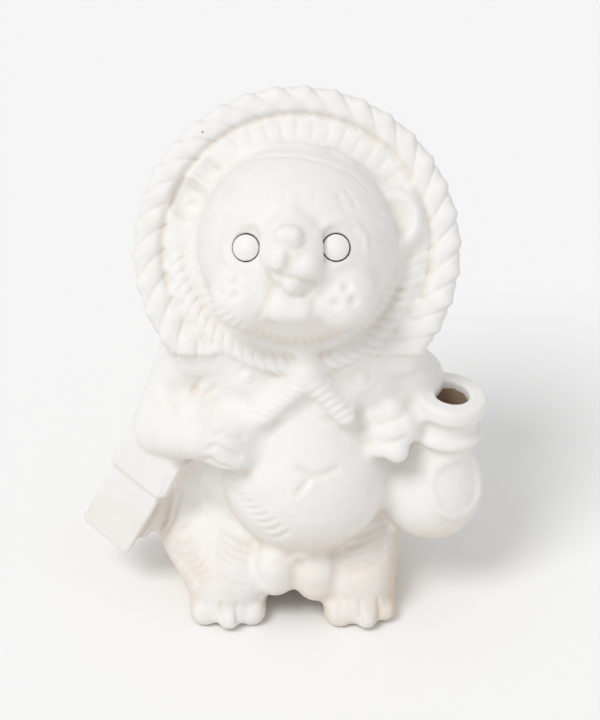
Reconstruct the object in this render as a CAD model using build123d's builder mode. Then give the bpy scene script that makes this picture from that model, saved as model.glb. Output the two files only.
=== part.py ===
from build123d import *

import os
from math import acos, cos, degrees, radians, sin, sqrt

os.makedirs("parts", exist_ok=True)

# A standing ceramic tanuki with a straw hat, a sake bottle and a ledger.
# Millimetres and degrees. Front is -Y, and left and right are the viewer's.
# Pieces are shaped about the head's middle and moved over the figure's own middle as they are written.

# Stance
figure_x = 3.598
figure_y = -0.901
look_up = 35.0
face_turn = 4.0
cast_wall = 4.5

# Torso, belly and chest
torso_rx = 29.0
torso_ry = 20.0
torso_rz = 36.6
torso_x = 1.0
torso_y = 2.5
torso_bottom = 0.8
belly_r = 20.0
belly_x = 2.0
belly_bulge = 10.5
belly_bottom = 14.5
belly_top_r = 14.5
belly_top_rise = 19.0
belly_top_back = 5.0
breast_x = 0.8
breast_half_gap = 13.0
breast_drop = 10.0
breast_r = 8.5
breast_proud = 4.6

# Legs, feet, pouch and tail
sole_z = 0.0
haunch_x = {"left": 19.0, "right": 13.0}
haunch_r = {"left": 14.2, "right": 12.5}
haunch_y = -2.0
haunch_z = {"left": 12.6, "right": 15.0}
ankle_r = {"left": 10.0, "right": 8.8}
ankle_z = 8.6
foot_x = {"left": 16.4, "right": 14.6}
foot_half_width = {"left": 9.6, "right": 8.8}
foot_length = 24.0
foot_front = 28.2
instep_z = 4.5
instep_rz = 7.0
toe_x = {"left": (-5.5, 0.2, 5.4), "right": (-4.4, 1.9, 6.2)}
toe_r = {"left": (3.7, 2.6, 3.6), "right": (3.9, 2.6, 2.5)}
toe_length = 5.0
toe_z = 3.0
toe_rise = 0.8
toe_set_back = 1.6
pouch_x = {"left": -5.2, "right": 4.6}
pouch_drop = {"left": 0.0, "right": 1.6}
pouch_r = 5.2
pouch_length = 2.8
pouch_y = -19.6
pouch_bottom = 6.6
pouch_knob_x = 1.2
pouch_knob_y = -20.6
pouch_knob_r = 2.4
tail_r = 8.6
tail_tip_r = 7.0
tail_length = 11.0
tail_sink = 5.0

# Head and face, in the face's own axes: X right, Y up, Z towards the viewer
head_r = 22.6
head_wall = 7.0
head_sink = 4.9
head_y = 0.4
mould_seam = 45.0
eye_r = 2.9
eye_half_gap = 10.3
eye_rise = -1.3
eye_splay = 10.0
eye_length = 5.0
eye_dome = 1.3
eye_proud = 0.4
eye_side_gap = 0.2
eye_floor_gap = 0.15
socket_r = 5.0
socket_depth = 1.5
bridge_y = 5.4
bridge_r = 3.6
bridge_proud = 0.8
snout_y = -1.2
snout_r = 4.6
snout_proud = 4.6
lip_y = -4.6
lip_r = 3.2
lip_half_gap = 2.6
lip_proud = 3.6
nose_y = 1.0
nose_r = 2.3
nose_half_width = 0.9
nose_proud = 5.6
cheek_y = -11.7
cheek_half_gap = 10.9
cheek_r = 8.0
cheek_proud = 3.4
chin_y = -14.4
chin_r = 3.8
chin_half_width = 2.0
chin_proud = 2.8
tongue_y = -9.2
tongue_r = 2.5
tongue_proud = 2.8
ear_x = {"left": -24.8, "right": 22.6}
ear_y = {"left": 10.4, "right": 5.6}
ear_z = {"left": -4.0, "right": 0.0}
ear_rx = 6.6
ear_ry = 7.4
ear_rz = 3.6
ear_wall = 2.2
ear_cup = 2.9

# Hat: a cone behind the head, with a twisted rope rim
hat_drop = 0.9
hat_back = 4.5
hat_r = 34.9
hat_inner_depth = 4.0
hat_depth = 24.5
hat_edge = 3.5
hat_crown_r = 12.0
hat_shoulder = 24.0
rope_lobes = 34
rope_lobe_length = 3.8
rope_lobe_r = 2.6
rope_lobe_lay = 48.0
rope_core_r = 3.6
rope_ring_r = 33.8
rope_ring_lift = 1.3

# Chin rope with its knot and tails
chin_rope_r = 1.8
chin_rope_ring_r = 27.7
chin_rope_back = 4.0
chin_rope_tilt = 2.0
chin_rope_from = 178.0
chin_rope_sweep = 172.0
knot_x = 2.6
knot_r = 3.1
knot_half_width = 0.9
knot_drop = 0.6
knot_lift = 0.8
tie_end_x = {"left": -8.6, "right": 11.4}
tie_end_z = {"left": 55.6, "right": 56.4}
tie_r = 2.4
tie_tip_r = 1.9
tie_proud = 3.6

# Arms and hands
shoulder_x = {"left": -24.0, "right": 21.5}
shoulder_y = 1.0
shoulder_drop = 14.0
shoulder_r = 8.6
elbow_x = {"left": -31.0, "right": 25.0}
elbow_y = {"left": -7.0, "right": -4.0}
elbow_drop = {"left": 28.0, "right": 24.0}
elbow_r = {"left": 7.6, "right": 5.8}
wrist_x = {"left": -21.5, "right": 24.0}
wrist_y = {"left": -18.0, "right": -13.5}
wrist_drop = {"left": 22.6, "right": 23.6}
wrist_r = {"left": 5.6, "right": 4.4}
hand_reach = {"left": 4.4, "right": 1.2}
hand_r = {"left": 6.1, "right": 4.6}
left_finger_count = 4
right_finger_count = 3
finger_r = {"left": 2.0, "right": 2.2}
finger_length = {"left": 5.0, "right": 4.6}
finger_pitch = {"left": 3.3, "right": 4.0}
finger_taper = 0.95
knuckle_reach = 1.0
knuckle_lift = 1.5
fingertip_lift = 1.0
hand_forward = 0.35

# Sake bottle
bottle_height = 38.0
bottle_body_r = 11.8
bottle_body_z = 14.0
bottle_foot_r = 7.0
bottle_foot_flare = 0.6
bottle_neck_r = 7.2
bottle_neck_z = 26.5
bottle_neck_flare = 0.1
bottle_lip_r = 8.7
bottle_lip_height = 4.6
bottle_lip_round = 1.2
bottle_lip_slope = 2.0
bottle_bore_r = 4.4
bottle_bore_depth = 31.0
bottle_base_x = 30.28
bottle_base_y = -7.0
bottle_base_z = 18.2
bottle_lean = 8.5
bottle_cord_r = 1.5
bottle_cord_seat = 0.45
bottle_ring_r = 7.8
bottle_ring_rise = 3.4
bottle_ring_width = 1.3
bottle_ring_height = 0.7
bottle_ring_turn = 31.0

# Ledger
ledger_width = 14.0
ledger_length = 31.0
ledger_cover = 1.8
ledger_pages = 6.4
ledger_page_inset = 0.9
ledger_x = -37.6
ledger_y = -6.0
ledger_z = 27.6
ledger_yaw = -32.0
ledger_lean = 24.0
ledger_tilt = 8.0
ledger_corner = 1.0
ledger_band_width = 10.0
ledger_band_thick = 0.9

sides = {"left": -1, "right": 1}
finger_count = {"left": left_finger_count, "right": right_finger_count}
full_turn = 360.0


def turned(plane, about_x=0, about_y=0, about_z=0):
    """Copy of a plane, turned about its own axes."""
    return Plane(plane.location * Location((0, 0, 0), (about_x, about_y, about_z)))


def ellipsoid(plane, rx, ry, rz):
    """Ellipsoid with its axes along the plane's own."""
    with BuildPart() as form:
        Sphere(1)
        scale(by=(rx, ry, rz))
    return plane.location * form.part


def limb(start, start_r, end, end_r):
    """Tapered limb with round ends."""
    run = end - start
    length = run.length
    lean = (start_r - end_r) / length
    rise = sqrt(1 - lean**2)
    half_low = sqrt((1 - lean) / 2)
    half_high = sqrt((1 + lean) / 2)
    side = Vector(0, 0, 1) if abs(run.normalized().Z) < 0.9 else Vector(1, 0, 0)
    plane = Plane(origin=start, x_dir=run, z_dir=run.cross(side))
    shoulder = (start_r * lean, start_r * rise)
    cuff = (length + end_r * lean, end_r * rise)
    with BuildPart() as form:
        with BuildSketch(plane):
            with BuildLine():
                ThreePointArc((-start_r, 0), (-start_r * half_low, start_r * half_high), shoulder)
                Line(shoulder, cuff)
                ThreePointArc(cuff, (length + end_r * half_high, end_r * half_low), (length + end_r, 0))
                Line((length + end_r, 0), (-start_r, 0))
            make_face()
        revolve(axis=Axis(start, run))
    return form.part


def cut(*forms):
    """Takes the neighbours that a piece seats on out of the piece being built."""
    for form in forms:
        add(form, mode=Mode.SUBTRACT)


def stand():
    """Cuts the piece being built flat where it stands."""
    split(bisect_by=Plane.XY.offset(sole_z), keep=Keep.TOP)


def save(piece, name):
    """Brings a finished piece over the middle of the figure's floor print and writes it."""
    settled = piece.part.moved(Location((figure_x, figure_y, 0)))
    settled.label = name
    export_step(settled, f"parts/{name}.step")


# Torso: a closed hollow casting
torso_z = torso_bottom + torso_rz
torso_top = torso_z + torso_rz
torso_plane = Plane(Vector(torso_x, torso_y, torso_z))
torso_form = ellipsoid(torso_plane, torso_rx, torso_ry, torso_rz)
torso_hollow = ellipsoid(torso_plane, torso_rx - cast_wall, torso_ry - cast_wall, torso_rz - cast_wall)

with BuildPart() as torso:
    add(torso_form)
    cut(torso_hollow)
save(torso, "torso")


def torso_front(x, z):
    """Depth of the torso's front surface."""
    across = (x - torso_x) / torso_rx
    up = (z - torso_z) / torso_rz
    return torso_y - torso_ry * sqrt(max(0.0, 1 - across**2 - up**2))


# Belly: a round drum on the front of the torso
belly_y = torso_y - torso_ry - belly_bulge + belly_r
belly_centre = Vector(belly_x, belly_y, belly_bottom + belly_r)
with BuildPart() as belly:
    belly_top = belly_centre + Vector(0, belly_top_back, belly_top_rise)
    add(limb(belly_centre, belly_r, belly_top, belly_top_r))
    cut(torso_form)
save(belly, "belly")

# Head: a ball on the torso, facing up
look = Vector(0, -cos(radians(look_up)), sin(radians(look_up)))
head_centre = Vector(0, head_y, torso_top + head_r - head_sink)
head_plane = Plane(origin=head_centre, x_dir=(1, 0, 0), z_dir=look)
face = turned(head_plane, about_y=-face_turn)
with BuildPart() as head_ball:
    with Locations(turned(head_plane, about_z=mould_seam).location):
        Sphere(head_r)
head_form = head_ball.part

# Breasts: low mounds under the rope
breasts = {}
for side, sign in sides.items():
    mound_x = breast_x + sign * breast_half_gap
    mound_z = torso_top - breast_drop
    with BuildPart() as breasts[side]:
        mound = Vector(mound_x, torso_front(mound_x, mound_z) + breast_r - breast_proud, mound_z)
        with Locations(Plane(mound, x_dir=(1, 0, 0), z_dir=(0, -1, 0)).location):
            Sphere(breast_r)
        cut(torso_form, belly.part, head_form)
    save(breasts[side], f"breast_{side}")

# Legs: a broad haunch that runs into the ankle
legs = {}
for side, sign in sides.items():
    hip = Vector(sign * haunch_x[side], haunch_y, haunch_z[side])
    ankle = Vector(sign * foot_x[side], foot_length / 2 - foot_front, ankle_z)
    with BuildPart() as legs[side]:
        add(limb(hip, haunch_r[side], ankle, ankle_r[side]))
        stand()
        cut(torso_form, belly.part)
    save(legs[side], f"leg_{side}")

# Feet: an instep with round toes, flat underneath
feet = {}
for side, sign in sides.items():
    instep = Plane(Vector(sign * foot_x[side], foot_length / 2 - foot_front, instep_z))
    with BuildPart() as feet[side]:
        add(ellipsoid(instep, foot_half_width[side], foot_length / 2 - toe_set_back, instep_rz))
        for across, r in zip(toe_x[side], toe_r[side]):
            back = toe_set_back * (2 * across / foot_half_width[side]) ** 2
            tip = Vector(sign * foot_x[side] + across, r - foot_front + back, toe_z)
            add(limb(tip + Vector(0, toe_length, toe_rise), r, tip, r))
        stand()
        cut(legs[side].part, torso_form, belly.part)
    save(feet[side], f"foot_{side}")

# Pouch: two lobes and a knob under the belly
pouch = {}
pouch_z = pouch_bottom + pouch_r
for side in sides:
    lobe = Vector(pouch_x[side], pouch_y, pouch_z - pouch_drop[side])
    with BuildPart() as pouch[side]:
        add(limb(lobe + Vector(0, 0, pouch_length), pouch_r, lobe, pouch_r))
        cut(torso_form, belly.part, legs["left"].part, legs["right"].part)
        cut(feet["left"].part, feet["right"].part)
        if side == "right":
            cut(pouch["left"].part)
    save(pouch[side], f"pouch_{side}")

with BuildPart() as pouch_knob:
    with Locations(Vector(pouch_knob_x, pouch_knob_y, pouch_z + pouch_length + pouch_r)):
        Sphere(pouch_knob_r)
    cut(torso_form, belly.part, pouch["left"].part, pouch["right"].part)
save(pouch_knob, "pouch_knob")

# Tail: a round brush that props the figure from behind
with BuildPart() as tail:
    tail_root = Vector(0, torso_y + torso_ry - tail_sink, tail_r + tail_length / 2)
    tail_tip = tail_root + Vector(0, tail_length / 2, -tail_length)
    add(limb(tail_root, tail_r, tail_tip, tail_tip_r))
    stand()
    cut(torso_form, legs["left"].part, legs["right"].part)
save(tail, "tail")

# Head: a hollow round casting with two bored eye sockets
def face_depth(x, y):
    """Depth of the face's surface in front of the head's centre."""
    return sqrt(max(0.0, head_r**2 - x**2 - y**2))


def on_face(x, y, lift):
    """Point over the face, lifted off its surface towards the viewer."""
    return face.from_local_coords((x, y, face_depth(x, y) + lift))


def face_ball(x, y, r, proud):
    """Ball that stands proud of the face."""
    with Locations(Plane(on_face(x, y, proud - r), x_dir=face.x_dir, z_dir=face.z_dir).location):
        Sphere(r)


def eye_seat(sign):
    """Plane on an eye socket's floor, facing out along the eye's own axis."""
    brow = Plane(on_face(sign * eye_half_gap, eye_rise, eye_proud), x_dir=face.x_dir, z_dir=face.z_dir)
    return turned(brow, about_y=sign * eye_splay).offset(-eye_length - eye_floor_gap)


with BuildPart() as head:
    add(head_form)
    cut(torso_form)
    with Locations(turned(head_plane, about_z=mould_seam).location):
        Sphere(head_r - head_wall, mode=Mode.SUBTRACT)
    for sign in sides.values():
        seat = eye_seat(sign)
        bowl_r = (socket_r**2 + socket_depth**2) / (2 * socket_depth)
        rim_z = eye_length - eye_proud
        with Locations(seat.offset(rim_z - socket_depth + bowl_r).location):
            Sphere(bowl_r, mode=Mode.SUBTRACT)
        with Locations(seat.location):
            upward = (Align.CENTER, Align.CENTER, Align.MIN)
            Cylinder(eye_r + eye_side_gap, eye_length + bowl_r, align=upward, mode=Mode.SUBTRACT)
save(head, "head")

# Eyes: domed round pegs, each loose in its socket
for side, sign in sides.items():
    seat = eye_seat(sign).offset(eye_floor_gap)
    with BuildPart() as eye:
        with BuildSketch(Plane(origin=seat.origin, x_dir=seat.x_dir, z_dir=-seat.y_dir)):
            with BuildLine():
                shoulder = eye_length - eye_dome
                dome_r = (eye_r**2 + eye_dome**2) / (2 * eye_dome)
                Polyline((0, eye_length), (0, 0), (eye_r, 0), (eye_r, shoulder))
                RadiusArc((eye_r, shoulder), (0, eye_length), -dome_r)
            make_face()
        revolve(axis=Axis(seat.origin, seat.z_dir))
    save(eye, f"eye_{side}")

# Muzzle: snout with two lips, nose, cheek pads, chin and tongue
with BuildPart() as snout:
    bridge = on_face(0, bridge_y, bridge_proud - bridge_r)
    add(limb(bridge, bridge_r, on_face(0, snout_y, snout_proud - snout_r), snout_r))
    for sign in sides.values():
        face_ball(sign * lip_half_gap, lip_y, lip_r, lip_proud)
    cut(head_form)
save(snout, "snout")

with BuildPart() as nose:
    nose_left = on_face(-nose_half_width, nose_y, nose_proud - nose_r)
    nose_right = on_face(nose_half_width, nose_y, nose_proud - nose_r)
    add(limb(nose_left, nose_r, nose_right, nose_r))
    cut(head_form, snout.part)
save(nose, "nose")

cheeks = {}
for side, sign in sides.items():
    with BuildPart() as cheeks[side]:
        face_ball(sign * cheek_half_gap, cheek_y, cheek_r, cheek_proud)
        cut(head_form, snout.part)
    save(cheeks[side], f"cheek_{side}")

with BuildPart() as chin:
    chin_left = on_face(-chin_half_width, chin_y, chin_proud - chin_r)
    chin_right = on_face(chin_half_width, chin_y, chin_proud - chin_r)
    add(limb(chin_left, chin_r, chin_right, chin_r))
    cut(head_form, snout.part, cheeks["left"].part, cheeks["right"].part)
save(chin, "chin")

with BuildPart() as tongue:
    face_ball(0, tongue_y, tongue_r, tongue_proud)
    cut(head_form, snout.part, chin.part, cheeks["left"].part, cheeks["right"].part)
save(tongue, "tongue")

# Ears: shallow cups on the sides of the head
ears = {}
ear_forms = {}
for side in sides:
    root = Plane(head_plane.from_local_coords((ear_x[side], ear_y[side], ear_z[side])),
                 x_dir=head_plane.x_dir, z_dir=look)
    ear_forms[side] = ellipsoid(root, ear_rx, ear_ry, ear_rz)
    with BuildPart() as ears[side]:
        add(ear_forms[side])
        cut(ellipsoid(root.offset(ear_cup), ear_rx - ear_wall, ear_ry - ear_wall, ear_rz))
        cut(head_form)
    save(ears[side], f"ear_{side}")

# Sake bottle: thrown round, with a bored mouth
lean = radians(bottle_lean)
bottle_axis = Vector(sin(lean), 0, cos(lean))
bottle_base = Vector(bottle_base_x, bottle_base_y, bottle_base_z)
bottle_plane = Plane(origin=bottle_base, x_dir=(cos(lean), 0, -sin(lean)), z_dir=bottle_axis)
bottle_section = Plane(origin=bottle_base, x_dir=bottle_plane.x_dir, z_dir=-bottle_plane.y_dir)
lip_z = bottle_height - bottle_lip_height - bottle_lip_slope / 2


def bottle_form(grow):
    """Outside of the bottle, grown all round."""
    body = bottle_body_r + grow
    neck = bottle_neck_r + grow
    lip = bottle_lip_r + grow
    top = bottle_height + grow
    with BuildPart() as form:
        with BuildSketch(bottle_section):
            with BuildLine():
                Line((0, -grow), (bottle_foot_r, -grow))
                Spline((bottle_foot_r, -grow), (body, bottle_body_z), (neck, bottle_neck_z),
                       tangents=((1, bottle_foot_flare), (-bottle_neck_flare, 1)))
                Polyline((neck, bottle_neck_z), (neck, lip_z), (lip, lip_z + bottle_lip_slope),
                         (lip, top - bottle_lip_round))
                RadiusArc((lip, top - bottle_lip_round), (lip - bottle_lip_round, top), -bottle_lip_round)
                Polyline((lip - bottle_lip_round, top), (0, top), (0, -grow))
            make_face()
        revolve(axis=Axis(bottle_base, bottle_axis))
    return form.part


with BuildPart() as bottle:
    add(bottle_form(0))
    with Locations(bottle_plane.offset(bottle_height).location):
        downward = (Align.CENTER, Align.CENTER, Align.MAX)
        Cylinder(bottle_bore_r, bottle_bore_depth, align=downward, mode=Mode.SUBTRACT)
    cut(torso_form, belly.part, legs["right"].part)
save(bottle, "bottle")

# Cord round the bottle's neck
with BuildPart() as bottle_cord:
    with Locations(bottle_plane.offset(bottle_neck_z + bottle_cord_r).location):
        Torus(bottle_neck_r + bottle_cord_seat, bottle_cord_r)
    cut(bottle_form(0), torso_form, belly.part)
save(bottle_cord, "bottle_cord")

# Raised ring on the bottle's shoulder
ring_plane = turned(bottle_plane.offset(bottle_body_z + bottle_ring_rise), about_z=bottle_ring_turn)
ring_axis = -ring_plane.y_dir
with BuildPart() as bottle_ring:
    with BuildSketch(Plane(origin=ring_plane.origin, x_dir=ring_plane.x_dir, z_dir=ring_axis)):
        Circle(bottle_ring_r)
        Circle(bottle_ring_r - bottle_ring_width, mode=Mode.SUBTRACT)
    extrude(amount=2 * bottle_body_r)
    add(bottle_form(bottle_ring_height), mode=Mode.INTERSECT)
    cut(bottle_form(0))
save(bottle_ring, "bottle_ring")

# Arms: upper arm and forearm in one
arms = {}
hands = {}
for side in sides:
    shoulder = Vector(shoulder_x[side], shoulder_y, torso_top - shoulder_drop)
    elbow = Vector(elbow_x[side], elbow_y[side], torso_top - elbow_drop[side])
    wrist = Vector(wrist_x[side], wrist_y[side], torso_top - wrist_drop[side])
    with BuildPart() as arms[side]:
        add(limb(shoulder, shoulder_r, elbow, elbow_r[side]))
        add(limb(elbow, elbow_r[side], wrist, wrist_r[side]))
        cut(torso_form, belly.part, breasts[side].part)
        if side == "right":
            cut(bottle_form(0), bottle_cord.part)
    save(arms[side], f"arm_{side}")

# Hands: a rounded back with stubby fingers laid on the belly
for side, sign in sides.items():
    wrist = Vector(wrist_x[side], wrist_y[side], torso_top - wrist_drop[side])
    palm = Plane(origin=wrist, x_dir=(-sign, -hand_forward, 0), z_dir=look)
    with BuildPart() as hands[side]:
        with Locations(palm.from_local_coords((hand_reach[side], 0, 0))):
            Sphere(hand_r[side])
        for finger in range(finger_count[side]):
            up = ((finger_count[side] - 1) / 2 - finger) * finger_pitch[side]
            knuckle = palm.from_local_coords((hand_reach[side] + knuckle_reach, up, knuckle_lift))
            tip = palm.from_local_coords((hand_reach[side] + finger_length[side], up, fingertip_lift))
            add(limb(knuckle, finger_r[side], tip, finger_r[side] * finger_taper))
        cut(torso_form, belly.part, arms[side].part, breasts[side].part)
        if side == "right":
            cut(bottle_form(0), bottle_cord.part)
    save(hands[side], f"hand_{side}")

# Hat: a shallow straw cone behind the head
hat_plane = Plane(head_plane.from_local_coords((0, -hat_drop, -hat_back)), x_dir=head_plane.x_dir, z_dir=look)
hat_section = Plane(origin=hat_plane.origin, x_dir=hat_plane.x_dir, z_dir=-hat_plane.y_dir)
crown_centre = Vector(0, hat_crown_r - hat_depth)
crown_reach = Vector(hat_r, -hat_edge) - crown_centre
crown_turn = acos(hat_crown_r / crown_reach.length)
crown_start = crown_centre + crown_reach.normalized().rotate(Axis.Z, -degrees(crown_turn)) * hat_crown_r
hat_foot = hat_plane.from_local_coords((0, -hat_shoulder, 0))
hat_end = Plane(hat_foot, x_dir=hat_plane.x_dir, z_dir=hat_plane.y_dir)
with BuildPart() as hat:
    with BuildSketch(hat_section):
        with BuildLine():
            Polyline((0, -hat_inner_depth), (hat_r, 0), (hat_r, -hat_edge), crown_start)
            RadiusArc(crown_start, (0, -hat_depth), hat_crown_r)
            Line((0, -hat_depth), (0, -hat_inner_depth))
        make_face()
    revolve(axis=Axis(hat_plane.origin, hat_plane.z_dir))
    split(bisect_by=hat_end, keep=Keep.TOP)
    cut(head_form, torso_form)
    for side in sides:
        cut(ears[side].part, arms[side].part, breasts[side].part)
save(hat, "hat")

# Hat rim: a thick rope laid round the edge, one lobe for each turn of its lay
with BuildPart() as hat_rim:
    lobes = []
    for turn in range(rope_lobes):
        spot = turned(hat_plane, about_z=full_turn * turn / rope_lobes).offset(rope_ring_lift)
        out = rope_lobe_length / 2 * sin(radians(rope_lobe_lay))
        along = rope_lobe_length / 2 * cos(radians(rope_lobe_lay))
        inner = spot.from_local_coords((rope_ring_r - out, -along, 0))
        outer = spot.from_local_coords((rope_ring_r + out, along, 0))
        lobes.append(limb(inner, rope_lobe_r, outer, rope_lobe_r))
    with Locations(hat_plane.location):
        Torus(rope_ring_r, rope_core_r)
    add(lobes)
    split(bisect_by=hat_end, keep=Keep.TOP)
    cut(hat.part, torso_form)
    for side in sides:
        cut(arms[side].part, breasts[side].part, ear_forms[side])
save(hat_rim, "hat_rim")

# Chin rope: round the jaw from ear to ear
rope_plane = Plane(head_plane.from_local_coords((0, 0, -chin_rope_back)), x_dir=head_plane.x_dir, z_dir=look)
rope_plane = turned(rope_plane, about_x=-chin_rope_tilt)
with BuildPart() as chin_rope:
    with BuildLine(rope_plane) as rope_line:
        CenterArc((0, 0), chin_rope_ring_r, chin_rope_from, chin_rope_sweep)
    with BuildSketch(Plane(origin=rope_line.line @ 0, z_dir=rope_line.line % 0)):
        Circle(chin_rope_r)
    sweep()
    cut(torso_form, head_form, hat.part)
    for side in sides:
        cut(arms[side].part, breasts[side].part, ears[side].part, cheeks[side].part)
save(chin_rope, "chin_rope")

# Knot and the two loose tails that lie on the chest
knot_centre = rope_plane.from_local_coords((knot_x, -chin_rope_ring_r - knot_drop, knot_lift))
knot_plane = Plane(knot_centre, x_dir=(1, 0, 0), z_dir=look)
with BuildPart() as rope_knot:
    knot_left = knot_plane.from_local_coords((-knot_half_width, 0, 0))
    add(limb(knot_left, knot_r, knot_plane.from_local_coords((knot_half_width, 0, 0)), knot_r))
    cut(torso_form, head_form, chin_rope.part, breasts["left"].part, breasts["right"].part)
save(rope_knot, "rope_knot")

ties = {}
for side in sides:
    tip_x = tie_end_x[side]
    tip = Vector(tip_x, torso_front(tip_x, tie_end_z[side]) - tie_proud, tie_end_z[side])
    with BuildPart() as ties[side]:
        add(limb(knot_plane.origin, tie_r, tip, tie_tip_r))
        cut(torso_form, head_form, chin_rope.part, rope_knot.part, belly.part)
        cut(breasts["left"].part, breasts["right"].part)
        if side == "right":
            cut(ties["left"].part)
    save(ties[side], f"rope_tail_{side}")

# Ledger: two covers, a block of pages and a cloth band at the top
ledger = Plane(Vector(ledger_x, ledger_y, ledger_z), x_dir=(1, 0, 0), z_dir=(0, -1, 0))
ledger = turned(turned(turned(ledger, about_y=ledger_yaw), about_z=-ledger_lean), about_x=-ledger_tilt)
ledger_neighbours = [torso_form, legs["left"].part, arms["left"].part, hands["left"].part]
with BuildPart() as ledger_front:
    with BuildSketch(ledger.offset(ledger_pages / 2)):
        RectangleRounded(ledger_width, ledger_length, ledger_corner)
    extrude(amount=ledger_cover)
    cut(*ledger_neighbours)
save(ledger_front, "ledger_front_cover")

with BuildPart() as ledger_block:
    with BuildSketch(ledger.offset(-ledger_pages / 2)):
        Rectangle(ledger_width - 2 * ledger_page_inset, ledger_length - 2 * ledger_page_inset)
    extrude(amount=ledger_pages)
    cut(*ledger_neighbours)
save(ledger_block, "ledger_pages")

with BuildPart() as ledger_back:
    with BuildSketch(ledger.offset(-ledger_pages / 2 - ledger_cover)):
        RectangleRounded(ledger_width, ledger_length, ledger_corner)
    extrude(amount=ledger_cover)
    cut(*ledger_neighbours)
save(ledger_back, "ledger_back_cover")

with BuildPart() as ledger_band:
    ledger_thick = ledger_pages + 2 * ledger_cover
    band_start = ledger.from_local_coords((0, ledger_length / 2 - ledger_band_width, 0))
    with BuildSketch(Plane(band_start, x_dir=ledger.x_dir, z_dir=ledger.y_dir)):
        Rectangle(ledger_width + 2 * ledger_band_thick, ledger_thick + 2 * ledger_band_thick)
        Rectangle(ledger_width, ledger_thick, mode=Mode.SUBTRACT)
    extrude(amount=ledger_band_width)
    cut(*ledger_neighbours)
save(ledger_band, "ledger_band")
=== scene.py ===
import math

import bpy
import numpy as np
import openvdb
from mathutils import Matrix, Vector


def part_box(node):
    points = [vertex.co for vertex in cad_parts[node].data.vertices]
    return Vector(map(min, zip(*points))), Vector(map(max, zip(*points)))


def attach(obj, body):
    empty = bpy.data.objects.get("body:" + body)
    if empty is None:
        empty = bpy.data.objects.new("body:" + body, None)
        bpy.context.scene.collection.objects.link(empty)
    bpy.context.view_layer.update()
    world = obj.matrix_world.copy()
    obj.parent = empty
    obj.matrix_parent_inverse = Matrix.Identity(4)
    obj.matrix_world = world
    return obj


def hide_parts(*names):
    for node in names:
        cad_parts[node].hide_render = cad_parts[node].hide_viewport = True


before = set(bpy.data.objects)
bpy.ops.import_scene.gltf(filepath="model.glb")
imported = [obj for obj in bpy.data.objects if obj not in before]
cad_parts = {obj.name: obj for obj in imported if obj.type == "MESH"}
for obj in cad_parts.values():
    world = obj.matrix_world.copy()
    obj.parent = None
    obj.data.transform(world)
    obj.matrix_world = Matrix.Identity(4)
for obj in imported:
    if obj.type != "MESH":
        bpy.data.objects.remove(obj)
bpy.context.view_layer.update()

# A slip-cast figure: the solids' fields are joined, their creases are filled with a soft fillet, the
# modelled marks are pressed in, and each piece is taken out of the joined form again. Sizes are in
# millimetres until the meshes, and left and right are the viewer's.

MM = 1000.0
VOXEL = 0.36
BAND = 2.6
MARGIN = 4.0
SOFTENING = 2
UNDERLAP = 1.0
UNDERCUT = 0.15

# Radii of the fillets: everywhere, round the soft forms, and at the shoulders
CREASE_R = 1.6
WIDE_CREASE_R = 3.4
SHOULDER_R = 6.0

# The figure's own axes against the frame
FIGURE = np.array([3.598, -0.901, 0.0])
LOOK_UP = math.radians(35.0)
LOOK = np.array([0.0, -math.cos(LOOK_UP), math.sin(LOOK_UP)])
LOOK_TOP = np.array([0.0, math.sin(LOOK_UP), math.cos(LOOK_UP)])
RIGHT = np.array([1.0, 0.0, 0.0])
HEAD = FIGURE + np.array([0.0, 0.4, 91.7])
CHEST = FIGURE + np.array([0.0, 0.0, 60.0])

# The camera, which also places the modelled marks on the form
TARGET = FIGURE + np.array([0.7, 0.0, 60.0])
DISTANCE = 700.0
FRAME_W, FRAME_H = 600, 720
PIXELS_PER_MM = 4.28
FOCAL = PIXELS_PER_MM * DISTANCE
EYE = TARGET + DISTANCE * LOOK

# Hat, with the straw's ribs and the twisted rope of its rim
HAT_DROP = 0.9
HAT_BACK = 4.5
HAT = HEAD - HAT_DROP * LOOK_TOP - HAT_BACK * LOOK
HAT_BLOCK = 42.0
STRAW = 48
STRAW_BLOCK = 40.0
STRAW_SHARPNESS = 2.5
STRAW_IN_DEPTH = 0.32
STRAW_IN_START = (24, 26)
STRAW_IN_END = (28.8, 30.2)
STRAW_IN_BACK = (-7, -5)
STRAW_IN_FRONT = (6.5, 8)
STRAW_IN_TURN = (0.4, 0.55)
STRAW_OUT_DEPTH = 0.4
STRAW_OUT_START = (5, 9)
STRAW_OUT_END = (33.5, 35.5)
STRAW_OUT_FRONT = (-4.5, -3.2)
STITCH_ROW = 4.6
STITCH_DEPTH = 0.25
STITCH_SHARPNESS = 4
RIM_R = 33.8
RIM_LOBES = 34
RIM_SLANT = 0.9
RIM_GROOVE = 0.4
RIM_GROOVE_SHARPNESS = 6
RIM_NEAR = (4.0, 4.8)
RIM_BACK = (-3, -1)
RIM_SEAM = 3.0
RIM_SEAM_WIDTH = 0.9
RIM_SEAM_DEPTH = 0.9
RIM_SEAM_FRONT = (-0.5, 1.5)
RIM_SEAM_ABOVE = (-14, -6)

# Chin rope
CHIN_ROPE_BACK = 4.0
CHIN_ROPE = HEAD - CHIN_ROPE_BACK * LOOK
CHIN_ROPE_R = 27.7
CHIN_ROPE_TILT = math.radians(-2.0)
CHIN_ROPE_THICK = 2.2
CHIN_ROPE_LIFT = 0.5
CHIN_ROPE_TOP = 0.02
CHIN_ROPE_CUT = 12.0
CHIN_ROPE_BLOCK = 34.0
STRAND = 2.7
STRANDS = 3
STRAND_DEPTH = 0.36
STRAND_NEAR = (2.2, 3.2)
STRAND_TURN = (-0.07, 0.14)

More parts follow.
